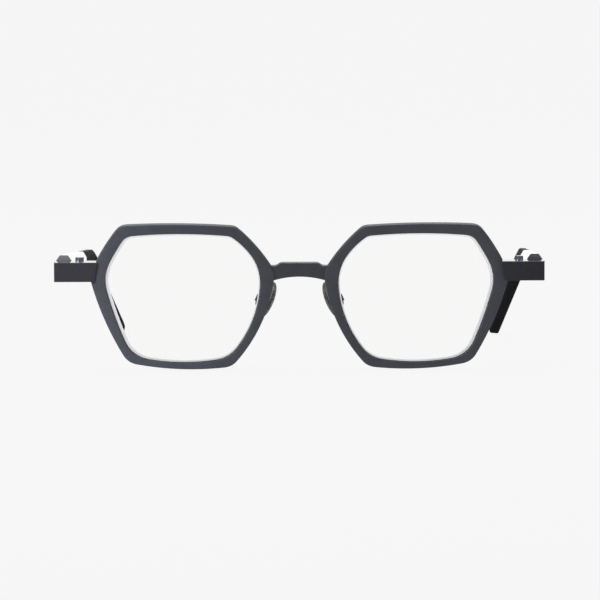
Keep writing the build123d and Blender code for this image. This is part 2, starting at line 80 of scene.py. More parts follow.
class Graph:
    """Adds and links the nodes of one node tree."""

    def __init__(self, tree: bpy.types.NodeTree) -> None:
        """Keeps the tree that the nodes go into, emptied first."""
        self.tree = tree
        tree.nodes.clear()

    def add(self, kind: str, inputs: dict | None = None, **settings: object) -> bpy.types.Node:
        """Adds one node.

        Args:
            kind: The node's type name.
            inputs: Socket names or numbers, each with a value or with a socket to link from.
            **settings: The node's own settings.

        Returns:
            The new node.
        """
        node = self.tree.nodes.new(kind)
        for name, value in settings.items():
            setattr(node, name, value)
        for name, value in (inputs or {}).items():
            if isinstance(value, Socket):
                self.tree.links.new(value, node.inputs[name])
            else:
                node.inputs[name].default_value = value
        return node

    def noise(self, place: Socket, scale: float, detail: float) -> Socket:
        """A noise pattern from 0 to 1, by its waves to the metre and its number of finer octaves."""
        inputs = {"Vector": place, "Scale": scale, "Detail": detail}
        return self.add("ShaderNodeTexNoise", inputs).outputs["Fac"]

    def compute(self, operation: str, *values: float | Socket) -> Socket:
        """One step of arithmetic on numbers and sockets."""
        return self.add("ShaderNodeMath", dict(enumerate(values)), operation=operation).outputs[0]

    def product(self, first: float | Socket, *others: float | Socket) -> Socket:
        """Multiplies numbers and sockets, one after the other.

        Args:
            first: The first of them.
            *others: The rest.

        Returns:
            Their product.
        """
        for other in others:
            first = self.compute("MULTIPLY", first, other)
        return first

    def ramp(self, value: Socket, start: Span, end: Span = (0.0, 1.0), soft: bool = False) -> Socket:
        """Maps one range to another, and stops at both its ends.

        Args:
            value: The value to map.
            start: The range that it comes from.
            end: The range that it goes to.
            soft: Whether it eases in and out.

        Returns:
            The mapped value.
        """
        inputs = {"Value": value, "From Min": start[0], "From Max": start[1]}
        inputs |= {"To Min": end[0], "To Max": end[1]}
        kind = "SMOOTHSTEP" if soft else "LINEAR"
        return self.add("ShaderNodeMapRange", inputs, interpolation_type=kind).outputs["Result"]

    def mix(self, share: Socket, first: float | Socket, second: float | Socket) -> Socket:
        """Blends two numbers by a share from 0 to 1."""
        return self.add("ShaderNodeMix", {0: share, 2: first, 3: second}).outputs[0]

    def tint(self, share: Socket, low: Triple, high: Triple) -> Socket:
        """Blends two colours by a share from 0 to 1."""
        inputs = {0: share, 6: (*low, 1.0), 7: (*high, 1.0)}
        return self.add("ShaderNodeMix", inputs, data_type="RGBA").outputs[2]

    def moved(self, mesh: Socket, height: Socket) -> Socket:
        """Moves a mesh along Z."""
        offset = self.add("ShaderNodeCombineXYZ", {"Z": height}).outputs["Vector"]
        return self.add("GeometryNodeSetPosition", {"Geometry": mesh, "Offset": offset}).outputs[0]


@dataclass(frozen=True)
class Finish:
    """One surface finish: a colour that drifts a little, a grain and a gloss.

    The grain's scales are in waves to the metre along each axis of the piece.
    """

    name: str
    low: Triple
    high: Triple
    gloss: Span
    drift_scale: float = 260.0
    drift_detail: float = 3.0
    grain_scale: Triple = (5200.0, 5200.0, 5200.0)
    grain_detail: float = 2.0
    grain_depth: float = 0.004 * MM
    grain_strength: float = 0.5
    metallic: float = 0.0
    level: float = 0.5
    ior: float = 1.5
    transmission: float = 0.0
    coat: float = 0.0
    coat_gloss: float = 0.03
    mirror_tint: Triple = (1.0, 1.0, 1.0)

    def material(self) -> bpy.types.Material:
        """The finish's material, made the first time that it is asked for."""
        return bpy.data.materials.get(self.name) or self.build()

    def build(self) -> bpy.types.Material:
        """Builds the finish's node tree.

        Returns:
            The new material.
        """
        material = bpy.data.materials.new(self.name)
        material.use_nodes = True
        graph = Graph(material.node_tree)
        place = graph.add("ShaderNodeTexCoord").outputs["Object"]
        drift = graph.noise(place, self.drift_scale, self.drift_detail)
        stretched = graph.add("ShaderNodeMapping", {"Vector": place, "Scale": self.grain_scale})
        grain = graph.noise(stretched.outputs["Vector"], 1.0, self.grain_detail)
        bump = {"Strength": self.grain_strength, "Distance": self.grain_depth, "Height": grain}
        surface = {
            "Base Color": graph.tint(graph.ramp(drift, NOISE_MIDDLE), self.low, self.high),
            "Roughness": graph.ramp(grain, NOISE_MIDDLE, self.gloss),
            "Normal": graph.add("ShaderNodeBump", bump).outputs["Normal"],
            "Metallic": self.metallic,
            "IOR": self.ior,
            "Specular IOR Level": self.level,
            "Specular Tint": (*self.mirror_tint, 1.0),
            "Transmission Weight": self.transmission,
            "Coat Weight": self.coat,
            "Coat Roughness": self.coat_gloss,
        }
        shader = graph.add("ShaderNodeBsdfPrincipled", surface)
        graph.add("ShaderNodeOutputMaterial", {"Surface": shader.outputs["BSDF"]})
        return material


BRUSHED_SIDEWAYS: Triple = (420.0, 6500.0, 6500.0)
METAL_GRAIN = 0.002 * MM

MOULDED_RIM = Finish(
    "moulded_rim_plastic", (0.058, 0.064, 0.080), (0.068, 0.074, 0.091), (0.44, 0.54),
    grain_strength=0.35,
)
COATED_BRIDGE = Finish(
    "coated_bridge_metal", (0.069, 0.071, 0.085), (0.079, 0.081, 0.096), (0.34, 0.46),
    grain_scale=BRUSHED_SIDEWAYS, grain_depth=METAL_GRAIN, metallic=0.25,
)
COATED_END_PIECE = Finish(
    "coated_end_piece_metal", (0.040, 0.040, 0.050), (0.046, 0.046, 0.057), (0.30, 0.42),
    grain_scale=BRUSHED_SIDEWAYS, grain_depth=METAL_GRAIN, metallic=0.25,
)
POLISHED_FLANK = Finish(
    "polished_end_piece_flank", (0.044, 0.044, 0.054), (0.050, 0.050, 0.061), (0.06, 0.12),
    grain_scale=BRUSHED_SIDEWAYS, grain_depth=0.001 * MM, coat=1.0,
)
POLISHED_ACETATE = Finish(
    "polished_black_acetate", (0.010, 0.010, 0.013), (0.014, 0.014, 0.018), (0.012, 0.030),
    drift_scale=140.0, grain_scale=(900.0, 900.0, 900.0), grain_depth=0.003 * MM,
    grain_strength=0.015, coat=0.35, coat_gloss=0.01,
)
SATIN_ACETATE = Finish(
    "satin_black_acetate", (0.009, 0.009, 0.012), (0.012, 0.012, 0.015), (0.52, 0.62),
    drift_scale=140.0, grain_scale=(3800.0, 3800.0, 3800.0), grain_depth=0.003 * MM,
    grain_strength=0.25, level=0.12,
)
SAWN_ACETATE = Finish(
    "sawn_acetate_end", (0.150, 0.150, 0.170), (0.190, 0.190, 0.210), (0.30, 0.42),
    grain_scale=(900.0, 5200.0, 5200.0),
)
COATED_LENS = Finish(
    "coated_clear_lens", (0.999, 0.999, 0.999), (1.0, 1.0, 1.0), (0.0, 0.003),
    grain_depth=0.0002 * MM, grain_strength=0.05, level=0.14, transmission=1.0,
    mirror_tint=(0.22, 0.20, 0.36),
)
GROUND_LENS_EDGE = Finish(
    "ground_lens_edge", (0.955, 0.95, 1.0), (0.975, 0.97, 1.0), (0.30, 0.45),
    level=0.3, transmission=0.85,
)
# Painted shade: a dark finish for a thin ring of the lens edge, standing in for the shadow of the rim's
# groove.
GROOVE_SHADE = Finish(
    "shaded_lens_groove", (0.022, 0.023, 0.036), (0.028, 0.029, 0.044), (0.40, 0.55)
)
CLEAR_PAD = Finish(
    "clear_soft_pad", (0.30, 0.31, 0.285), (0.36, 0.37, 0.345), (0.08, 0.16),
    drift_scale=500.0, grain_scale=(1600.0, 1600.0, 1600.0), grain_strength=0.15,
    ior=1.42, transmission=0.75,
)
BRUSHED_HINGE = Finish(
    "brushed_hinge_metal", (0.56, 0.60, 0.70), (0.66, 0.70, 0.80), (0.22, 0.38),
    grain_scale=(6500.0, 500.0, 6500.0), metallic=1.0,
)
GUNMETAL_WIRE = Finish(
    "gunmetal_arm_wire", (0.10, 0.10, 0.11), (0.14, 0.14, 0.15), (0.20, 0.32),
    grain_depth=METAL_GRAIN, metallic=1.0,
)
SCREW_STEEL = Finish(
    "blackened_screw_steel", (0.20, 0.20, 0.215), (0.27, 0.27, 0.285), (0.22, 0.36),
    grain_depth=METAL_GRAIN, metallic=1.0,
)
PLAIN_STEEL = Finish(
    "bright_steel", (0.52, 0.53, 0.55), (0.60, 0.61, 0.63), (0.18, 0.30),
    grain_depth=METAL_GRAIN, metallic=1.0,
)


@dataclass(frozen=True)
class FrontAxes:
    """The upright front's own axes: X to the side, Y to the back, Z up, zero on the rims' face.

    The clip-on land on the right end piece, whose place in both frames is known, ties them to
    the model's frame.
    """

    land_x: float = 66.2 * MM
    land_y: float = -0.8 * MM
    land_z: float = 8.15 * MM

    @property
    def place(self) -> Matrix:
        """Carries the front's axes into the model's frame.

        Returns:
            Their lean, with the land of both frames in one place.
        """
        mounts = {mount["name"]: mount for mount in frame["record"]["mounts"]}
        land = mounts["clip_on_face_right"]
        outward = Vector(land["axis"])
        lean = Matrix.Rotation(math.atan2(-outward.z, -outward.y), 4, "X")
        own = Vector((self.land_x, self.land_y, self.land_z))
        return Matrix.Translation(Vector(land["pos_m"]) - lean @ own) @ lean


FRONT = FrontAxes().place


def link(name: str, data: bpy.types.ID) -> bpy.types.Object:
    """Adds an object to the scene.

    Args:
        name: The object's name.
        data: Its mesh, light or camera.

    Returns:
        The new object.
    """
    obj = bpy.data.objects.new(name, data)
    bpy.context.scene.collection.objects.link(obj)
    return obj


def plain(obj: bpy.types.Object) -> None:
    """Bakes an object's modifiers into its mesh and removes them.

    Args:
        obj: The object.
    """
    graph = bpy.context.evaluated_depsgraph_get()
    graph.update()
    data = bpy.data.meshes.new_from_object(obj.evaluated_get(graph), depsgraph=graph)
    obj.modifiers.clear()
    obj.data = data


@dataclass(frozen=True)
class Edges:
    """How a piece's sharp edges are rounded and its faces shaded."""

    radius: float = 0.0
    steps: int = 3
    crease: float = math.radians(32)
    sharp: float = math.radians(50)

    def finish(self, obj: bpy.types.Object) -> None:
        """Rounds the edges, evens the shading and bakes both into the mesh.

        Args:
            obj: The piece.
        """
        if self.radius:
            bevel = obj.modifiers.new("rounded_edges", "BEVEL")
            bevel.width = self.radius
            bevel.segments = self.steps
            bevel.limit_method = "ANGLE"
            bevel.angle_limit = self.crease
            bevel.use_clamp_overlap = True
            plain(obj)
        obj.data.shade_smooth()
        obj.data.set_sharp_from_angle(angle=self.sharp)
        obj.modifiers.new("even_shading", "WEIGHTED_NORMAL").keep_sharp = True
        plain(obj)


def fasten(obj: bpy.types.Object, body: str, slot: str, *nodes: str, edges: Edges = Edges()) -> None:
    """Finishes a piece's edges, ties it to the model and reports it.

    Args:
        obj: The piece.
        body: The body that it moves with.
        slot: The name of the record's material slot; not used.
        *nodes: The nodes that it stands for.
        edges: How its edges are finished.
    """
    edges.finish(obj)
    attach(obj, body)
    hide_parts(*nodes)
    count = sum(len(face.vertices) - 2 for face in obj.data.polygons)
    LOG.info("%s on %s: %d triangles", obj.name, body, count)


def dress(node: str, finish: Finish) -> None:
    """Gives a node's own mesh a finish and reports it.

    Args:
        node: The node's name.
        finish: The finish.
    """
    for slot in frame["nodes"][node].material_slots:
        slot.material = finish.material()
    LOG.info("%s keeps its solid, with %s", node, finish.name)


def behind(depth: float) -> Vector:
    """A step straight back."""
    return BACKWARD * depth


def between(first: Span, second: Span, share: float) -> list[float]:
    """The two sizes that lie a share of the way from one pair to another."""
    return [a + (b - a) * share for a, b in zip(first, second)]


def rounding(start: float, end: float, steps: int) -> list[Span]:
    """The sine and cosine of each of some angles, from one to another in degrees."""
    angles = [math.radians(start + (end - start) * step / steps) for step in range(steps + 1)]
    return [(math.sin(angle), math.cos(angle)) for angle in angles]


class Shell:
    """A closed mesh, gathered ring by ring."""

    def __init__(self) -> None:
        """Starts an empty mesh."""
        self.mesh = bmesh.new()

    def ring(self, points: Sequence[Vector]) -> Vertices:
        """Adds a ring of vertices at the given points."""
        return [self.mesh.verts.new(point) for point in points]

    def skin(self, first: Vertices, second: Vertices, slot: int = 0) -> None:
        """Joins two rings of one length with four-sided faces.

        Args:
            first: One ring.
            second: The next ring.
            slot: The material slot of the faces.
        """
        for number, vertex in enumerate(first):
            after = (number + 1) % len(first)
            face = self.mesh.faces.new((vertex, first[after], second[after], second[number]))
            face.material_index = slot

    def chain(self, rings: Sequence[Vertices], slot: Callable[[int], int] = lambda number: 0) -> None:
        """Joins each ring to the next, with faces in the slot that the ring's number gives."""
        for number, (first, second) in enumerate(zip(rings, rings[1:])):
            self.skin(first, second, slot(number))

    def cap(self, ring: Vertices, slot: int = 0) -> None:
        """Closes a flat ring with one face."""
        self.mesh.faces.new(ring).material_index = slot

    def pole(self, ring: Vertices, point: Vector) -> None:
        """Closes a ring with a fan of triangles to one point.

        Args:
            ring: The ring.
            point: The fan's middle.
        """
        middle = self.mesh.verts.new(point)
        for number, vertex in enumerate(ring):
            self.mesh.faces.new((vertex, ring[(number + 1) % len(ring)], middle))

    def loft(self, rings: Sequence[Sequence[Vector]], closed: bool = False) -> None:
        """Joins a row of rings.

        Args:
            rings: The points of each ring.
            closed: Whether the last ring meets the first. Otherwise both ends are capped.
        """
        made = [self.ring(points) for points in rings]
        self.chain(made)
        if closed:
            self.skin(made[-1], made[0])
        else:
            self.cap(made[0])
            self.cap(made[-1])

    def piece(self, name: str, place: Matrix, *finishes: Finish) -> bpy.types.Object:
        """Turns the mesh into an object whose place is in its mesh.

        Args:
            name: The object's name.
            place: Carries the mesh into the model's frame.
            *finishes: The finish of each material slot.

        Returns:
            The new object.
        """
        bmesh.ops.transform(self.mesh, matrix=place, verts=self.mesh.verts)
        bmesh.ops.recalc_face_normals(self.mesh, faces=self.mesh.faces)
        data = bpy.data.meshes.new(name)
        self.mesh.to_mesh(data)
        self.mesh.free()
        for finish in finishes:
            data.materials.append(finish.material())
        return link(name, data)


def upright_mesh(node: str) -> bmesh.types.BMesh:
    """Copies a node's mesh into the front's axes.

    Args:
        node: The node's name.

    Returns:
        The copy, its loose triangles merged.
    """
    mesh = bmesh.new()
    mesh.from_mesh(frame["nodes"][node].data)
    bmesh.ops.remove_doubles(mesh, verts=mesh.verts, dist=0.001 * MM)
    bmesh.ops.transform(mesh, matrix=FRONT.inverted(), verts=mesh.verts)
    return mesh


class Outline:
    """A closed line in the front's plane, with its outward directions."""

    def __init__(self, points: Sequence[Vector]) -> None:
        """Keeps the points and works out the outward direction at each.

        Args:
            points: The line's points, in order.
        """
        self.points = list(points)
        self.outward = []
        for before, after in zip(self.points[-1:] + self.points, self.points[1:] + self.points[:1]):
            along = after - before
            self.outward.append(Vector((along.z, 0.0, -along.x)).normalized())

    def smoothed(self, passes: int) -> "Outline":
        """The line with each point drawn towards its neighbours.

        Args:
            passes: How many times they are drawn.

        Returns:
            The smoothed line.
        """
        points = self.points
        for _ in range(passes):
            neighbours = zip(points[-1:] + points[:-1], points, points[1:] + points[:1])
            points = [(before + 2 * point + after) / 4 for before, point, after in neighbours]
        return Outline(points)

    def at(self, offset: float, depth: float) -> list[Vector]:
        """The line moved outward by an offset and back to a depth."""
        pairs = zip(self.points, self.outward)
        return [point + outward * offset + behind(depth) for point, outward in pairs]


@dataclass(frozen=True)
class RimProbe:
    """Finds the walls of the right rim's solid, in the front's axes, between its groove and face."""

    centre_x: float = 34.4 * MM
    depth: float = 1.0 * MM
    reach: float = 60.0 * MM
    passes: int = 3

    @property
    def tree(self) -> BVHTree:
        """The rim's solid, ready for rays.

        Returns:
            Its tree of faces.
        """
        solid = upright_mesh("rim_right")
        tree = BVHTree.FromBMesh(solid)
        solid.free()
        return tree

    def walls(self, count: int) -> tuple[Outline, Outline]:
        """Finds the rim's inner and outer outlines.

        Args:
            count: The number of points of each.

        Returns:
            The inner and the outer outline.
        """
        tree = self.tree
        middle = Vector((self.centre_x, self.depth, 0.0))
        inner, outer = [], []
        for number in range(count):
            angle = math.tau * number / count
            way = Vector((math.cos(angle), 0.0, math.sin(angle)))
            inner.append(tree.ray_cast(middle, way)[0])
            outer.append(tree.ray_cast(middle + way * self.reach, -way)[0])
        for point in inner + outer:
            point.y = 0.0
        return Outline(inner).smoothed(self.passes), Outline(outer).smoothed(self.passes)

    def nasal(self, heights: Sequence[float]) -> list[float]:
        """Finds where the rim's nasal side starts.

        Args:
            heights: The heights to look at.

        Returns:
            How far from the middle it starts at each height.
        """
        tree = self.tree
        starts = [Vector((0.0, self.depth, height)) for height in heights]
        return [tree.ray_cast(start, SIDEWAYS)[0].x for start in starts]


@dataclass(frozen=True)
class Island:
    """One separate solid of a node that holds several."""

    middle: Vector
    low: Vector
    high: Vector


def islands(node: str) -> list[Island]:
    """Finds the separate solids of a node, in the front's axes.

    Args:
        node: The node's name.

    Returns:
        One island for each solid.
    """
    mesh = upright_mesh(node)
    left = dict.fromkeys(mesh.verts)
    found = []
    while left:
        group = [left.popitem()[0]]
        for vertex in group:
            for edge in vertex.link_edges:
                other = edge.other_vert(vertex)
                if other in left:
                    del left[other]
                    group.append(other)
        spans = [[vertex.co[axis] for vertex in group] for axis in range(3)]
        low = Vector([min(span) for span in spans])
        high = Vector([max(span) for span in spans])
        found.append(Island((low + high) / 2, low, high))
    mesh.free()
    return found


@dataclass(frozen=True)
class Fasteners:
    """Screws or rivets of one kind, set out by one Geometry Nodes tree.

    Each is drawn with the top of its head at zero and its shank down along Z, then stands on a
    point and turns to the point's own axis.
    """

    name: str
    finish: Finish
    head_radius: float
    head_height: float
    shank_radius: float
    length: float
    crown: float = 0.08 * MM
    slot_width: float = 0.25 * MM
    slot_depth: float = 0.25 * MM
    sides: int = 40
    side_steps: int = 3
    top_steps: int = 5

    def sizes(self) -> dict[str, float]:
        """The tree's inputs by name.

        Returns:
            The value of each.
        """
        return {
            "Head Radius": self.head_radius,
            "Head Height": self.head_height,
            "Shank Radius": self.shank_radius,
            "Length": self.length,
            "Crown": self.crown,
            "Slot Width": self.slot_width,
            "Slot Depth": self.slot_depth,
        }

    def head(self, graph: Graph, size: dict[str, Socket]) -> Socket:
        """The crowned head.

        Args:
            graph: The tree.
            size: The tree's inputs.

        Returns:
            The head's mesh.
        """
        disc = {"Vertices": self.sides, "Side Segments": self.side_steps, "Fill Segments": self.top_steps}
        disc |= {"Radius": size["Head Radius"], "Depth": size["Head Height"]}
        drum = graph.add("GeometryNodeMeshCylinder", disc, fill_type="TRIANGLE_FAN")
        place = graph.add("GeometryNodeInputPosition").outputs[0]
        parts = graph.add("ShaderNodeSeparateXYZ", {0: place}).outputs
        flat = graph.add("ShaderNodeCombineXYZ", {"X": parts["X"], "Y": parts["Y"]}).outputs[0]
        away = graph.add("ShaderNodeVectorMath", {0: flat}, operation="LENGTH").outputs["Value"]
        share = graph.compute("DIVIDE", away, size["Head Radius"])
        upper = graph.compute("GREATER_THAN", parts["Z"], 0.0)
        crowned = graph.product(share, share, size["Crown"], upper, -1.0)
        drop = graph.compute("SUBTRACT", crowned, graph.product(size["Head Height"], 0.5))
        return graph.moved(drum.outputs["Mesh"], drop)

    def slotted(self, graph: Graph, size: dict[str, Socket], head: Socket) -> Socket:
        """The head with its driver slot cut across.

        Args:
            graph: The tree.
            size: The tree's inputs.
            head: The plain head.

        Returns:
            The slotted head.
        """
        across, deep = graph.product(size["Head Radius"], 3.0), graph.product(size["Slot Depth"], 2.0)
        span = graph.add("ShaderNodeCombineXYZ", {"X": across, "Y": size["Slot Width"], "Z": deep})
        bar = graph.add("GeometryNodeMeshCube", {"Size": span.outputs[0]})
        both = {"Mesh 1": head, "Mesh 2": bar.outputs["Mesh"]}
        cut = graph.add("GeometryNodeMeshBoolean", both, operation="DIFFERENCE", solver="EXACT")
        return cut.outputs["Mesh"]

    def shank(self, graph: Graph, size: dict[str, Socket]) -> Socket:
        """The shank under the head.

        Args:
            graph: The tree.
            size: The tree's inputs.

        Returns:
            The shank's mesh.
        """
        depth = graph.compute("SUBTRACT", size["Length"], size["Head Height"])
        bar = {"Vertices": self.sides, "Radius": size["Shank Radius"], "Depth": depth}
        rod = graph.add("GeometryNodeMeshCylinder", bar)
        middle = graph.compute("ADD", size["Head Height"], graph.product(depth, 0.5))
        return graph.moved(rod.outputs["Mesh"], graph.product(middle, -1.0))

    def tree(self) -> bpy.types.NodeTree:
        """Builds the tree.

        Returns:
            The tree, with its sizes as named inputs.
        """
        tree = bpy.data.node_groups.new(self.name, "GeometryNodeTree")
        tree.interface.new_socket("Geometry", in_out="INPUT", socket_type="NodeSocketGeometry")
        for label, value in self.sizes().items():
            socket = tree.interface.new_socket(label, in_out="INPUT", socket_type="NodeSocketFloat")
            socket.default_value = value
        tree.interface.new_socket("Geometry", in_out="OUTPUT", socket_type="NodeSocketGeometry")
        graph = Graph(tree)
        size = graph.add("NodeGroupInput").outputs
        top = self.head(graph, size)
        if self.slot_width:
            top = self.slotted(graph, size, top)
        whole = graph.add("GeometryNodeJoinGeometry", {0: top})
        tree.links.new(self.shank(graph, size), whole.inputs[0])
        axis = graph.add("GeometryNodeInputNamedAttribute", {"Name": "axis"}, data_type="FLOAT_VECTOR")
        turn = graph.add("FunctionNodeAlignRotationToVector", {"Vector": axis.outputs[0]}, axis="Z")
        spots = {"Points": size["Geometry"], "Instance": whole.outputs[0], "Rotation": turn.outputs[0]}
        copies = graph.add("GeometryNodeInstanceOnPoints", spots)
        real = graph.add("GeometryNodeRealizeInstances", {"Geometry": copies.outputs[0]})
        dressed = {"Geometry": real.outputs[0], "Material": self.finish.material()}
        ready = graph.add("GeometryNodeSetMaterial", dressed)
        graph.add("NodeGroupOutput", {"Geometry": ready.outputs[0]})
        return tree

    def set_out(self, places: Sequence[Matrix], top: Vector, way: Vector, body: str, *nodes: str) -> None:
        """Stands the fasteners on their places and ties them to a body.

        Args:
            places: The axes that each one is placed in.
            top: The middle of its head's top, in those axes.
            way: The way that its head faces, in those axes.
            body: The body that they move with.
            *nodes: The nodes that they stand for.
        """
        data = bpy.data.meshes.new(self.name)
        data.from_pydata([tuple(place @ top) for place in places], [], [])
        column = data.attributes.new("axis", "FLOAT_VECTOR", "POINT")
        for number, place in enumerate(places):
            column.data[number].vector = place.to_3x3() @ way
        obj = link(self.name, data)
        tree = self.tree()
        modifier = obj.modifiers.new("set_out", "NODES")
        modifier.node_group = tree
        values = self.sizes()
        for item in tree.interface.items_tree:
            if item.in_out == "INPUT" and item.name in values:
                modifier[item.identifier] = values[item.name]
        plain(obj)
        fasten(obj, body, "steel", *nodes)


@dataclass
class LensHalf:
    """One hexagonal rim with its lens. Both outlines are found on the rim's own solid."""

    side: Side
    points: int = 480
    depth: float = 3.6 * MM
    front_round: float = 0.32 * MM
    front_steps: int = 4
    face_steps: int = 6
    back_round: float = 0.18 * MM
    back_steps: int = 3
    crown: float = 0.05 * MM
    groove_depth: float = 0.55 * MM
    groove_front: float = 1.85 * MM
    groove_back: float = 2.65 * MM
    bore_radius: float = 0.86 * MM
    bore_depth: float = 0.55 * MM
    bore_sides: int = 32
    lens_front: float = 0.5 * MM
    lens_thickness: float = 2.0 * MM
    front_radius: float = 350.0 * MM
    back_radius: float = 450.0 * MM
    lens_play: float = 0.03 * MM
    lens_rings: int = 20
    last_ring_share: float = 0.9995
    edge_width: float = 0.5 * MM
    edge_spread: float = 0.5 * MM
    edge_fall: float = 0.3 * MM
    # Width and fall of the ring of painted groove shade on the lens edge.
    shade_width: float = 0.12 * MM
    shade_fall: float = 0.24 * MM

    def __post_init__(self) -> None:
        """Finds the rim's inner and outer outlines on the solid."""
        self.inner, self.outer = RimProbe().walls(self.points)
        self.centre = Vector((RimProbe().centre_x, 0.0, 0.0))

    def face_line(self, share: float) -> list[Vector]:
        """A line on the rim's front face.

        Args:
            share: How far it lies from the rim's outer to its inner edge, from 0 to 1.

        Returns:
            The line's points.
        """
        dip = behind(self.crown * (1 - 2 * share) ** 2)
        outer = self.outer.at(-self.front_round, 0.0)
        inner = self.inner.at(self.front_round, 0.0)
        return [a.lerp(b, share) + dip for a, b in zip(outer, inner)]

    def rim_rings(self) -> list[list[Vector]]:
        """The rim's lengthwise lines in order round its section.

        Returns:
            One ring of points for each line.
        """
        front, back = self.front_round, self.back_round
        deep, near, far = self.groove_depth, self.groove_front, self.groove_back
        rings = []
        for sine, cosine in rounding(0, 90, self.front_steps):
            rings.append(self.outer.at(front * (cosine - 1), self.crown + front * (1 - sine)))
        rings += [self.face_line(step / self.face_steps) for step in range(1, self.face_steps)]
        for sine, cosine in rounding(90, 0, self.front_steps):
            rings.append(self.inner.at(front * (1 - cosine), self.crown + front * (1 - sine)))
        rings += [self.inner.at(*corner) for corner in ((0.0, near), (deep, near), (deep, far), (0.0, far))]
        for sine, cosine in rounding(0, 90, self.back_steps):
            rings.append(self.inner.at(back * (1 - cosine), self.depth - back * (1 - sine)))
        for sine, cosine in rounding(90, 0, self.back_steps):
            rings.append(self.outer.at(back * (cosine - 1), self.depth - back * (1 - sine)))
        return rings

    def bores(self) -> bpy.types.Object:
        """The counterbores of the four screws in the rim's back.

        Returns:
            One object that cuts them.
        """
        shell = Shell()
        turns = [math.tau * step / self.bore_sides for step in range(self.bore_sides)]
        circle = [Vector((math.cos(turn), 0.0, math.sin(turn))) * self.bore_radius for turn in turns]
        for screw in islands("bridge_screws") + islands("end_piece_screws"):
            if screw.middle.x > 0:
                floor = Vector((screw.middle.x, self.depth - self.bore_depth, screw.middle.z))
                ring = [floor + point for point in circle]
                shell.loft([ring, [point + behind(2 * self.bore_depth) for point in ring]])
        return shell.piece("screw_bores", self.side.place, MOULDED_RIM)

    def make_rim(self) -> None:
        """Builds the rim and fastens it to the front."""
        shell = Shell()
        shell.loft(self.rim_rings(), closed=True)
        rim = shell.piece(self.side.node("hexagonal_rim"), self.side.place, MOULDED_RIM)
        cutter = self.bores()
        cut = rim.modifiers.new("screw_bores", "BOOLEAN")
        cut.object = cutter
        cut.solver = "EXACT"
        plain(rim)
        bpy.data.objects.remove(cutter)
        fasten(rim, "front", "rim_plastic", self.side.node("rim"))

    def sunk(self, point: Vector, middle: float, radius: float) -> float:
        """How deep a round surface lies at a flat point, from its depth in the middle."""
        return middle + radius - math.sqrt(radius**2 - (point - self.centre).length ** 2)

    def front_depth(self, point: Vector) -> float:
        """How far behind the rim's face the lens's front lies at a point."""
        return self.sunk(point, self.lens_front, self.front_radius)

    def back_depth(self, point: Vector) -> float:
        """How far behind the rim's face the lens's back lies at a point."""
        return self.sunk(point, self.lens_front + self.lens_thickness, self.back_radius)

    def dome(self, shell: Shell, line: Sequence[Vector], depth: Callable[[Vector], float]) -> Vertices:
        """Makes one clear face of the lens, ring by ring from its middle.

        Args:
            shell: The mesh that the face goes into.
            line: The face's outer line, flat.
            depth: Gives the depth of a flat point.

        Returns:
            The face's outer ring.
        """
        made = []
        shares = [number / self.lens_rings for number in range(1, self.lens_rings)]
        for share in shares + [self.last_ring_share, 1.0]:
            flat = [self.centre.lerp(point, share) for point in line]
            made.append(shell.ring([point + behind(depth(point)) for point in flat]))
        shell.chain(made)
        shell.pole(made[0], self.centre + behind(depth(self.centre)))
        return made[-1]

    def make_lens(self) -> None:
        """Builds the lens, its ground edge in the rim's groove, and fastens it to the front.

        The clear faces end in a bevel, wider at the temple side, and a thin line of the edge has
        painted shade: a dark finish that stands in for the shadow in the rim's groove.
        """
        shell = Shell()
        edge = Outline(self.inner.at(-self.lens_play, 0.0))
        widths = [self.edge_width + self.edge_spread * max(0.0, outward.x) for outward in edge.outward]
        line = [a - outward * width for a, outward, width in zip(edge.points, edge.outward, widths)]
        front = self.dome(shell, line, self.front_depth)
        back = self.dome(shell, line, self.back_depth)
        # Painted shade: this ring starts the thin band of dark groove finish, in place of the groove's
        # shadow.
        shade = edge.at(-self.shade_width, 0.0)
        sides = [
            [point + behind(self.front_depth(point) + self.shade_fall) for point in shade],
            [point + behind(self.front_depth(point) + self.edge_fall) for point in edge.points],
            edge.at(0.0, self.groove_front + self.lens_play),
            edge.at(self.groove_depth - self.lens_play, (self.groove_front + self.groove_back) / 2),
            edge.at(0.0, self.groove_back - self.lens_play),
            [point + behind(self.back_depth(point) - self.edge_fall) for point in edge.points],
        ]
        rings = [front] + [shell.ring(points) for points in sides] + [back]
        # Slot 2, the painted groove shade, goes on the band between the first two side rings; slot 1 is the
        # ground edge.
        shell.chain(rings, lambda number: 2 if number == 1 else 1)
        finishes = COATED_LENS, GROUND_LENS_EDGE, GROOVE_SHADE
        lens = shell.piece(self.side.node("clear_hex_lens"), self.side.place, *finishes)
        fasten(lens, "front", "clear_lens", self.side.node("lens"))


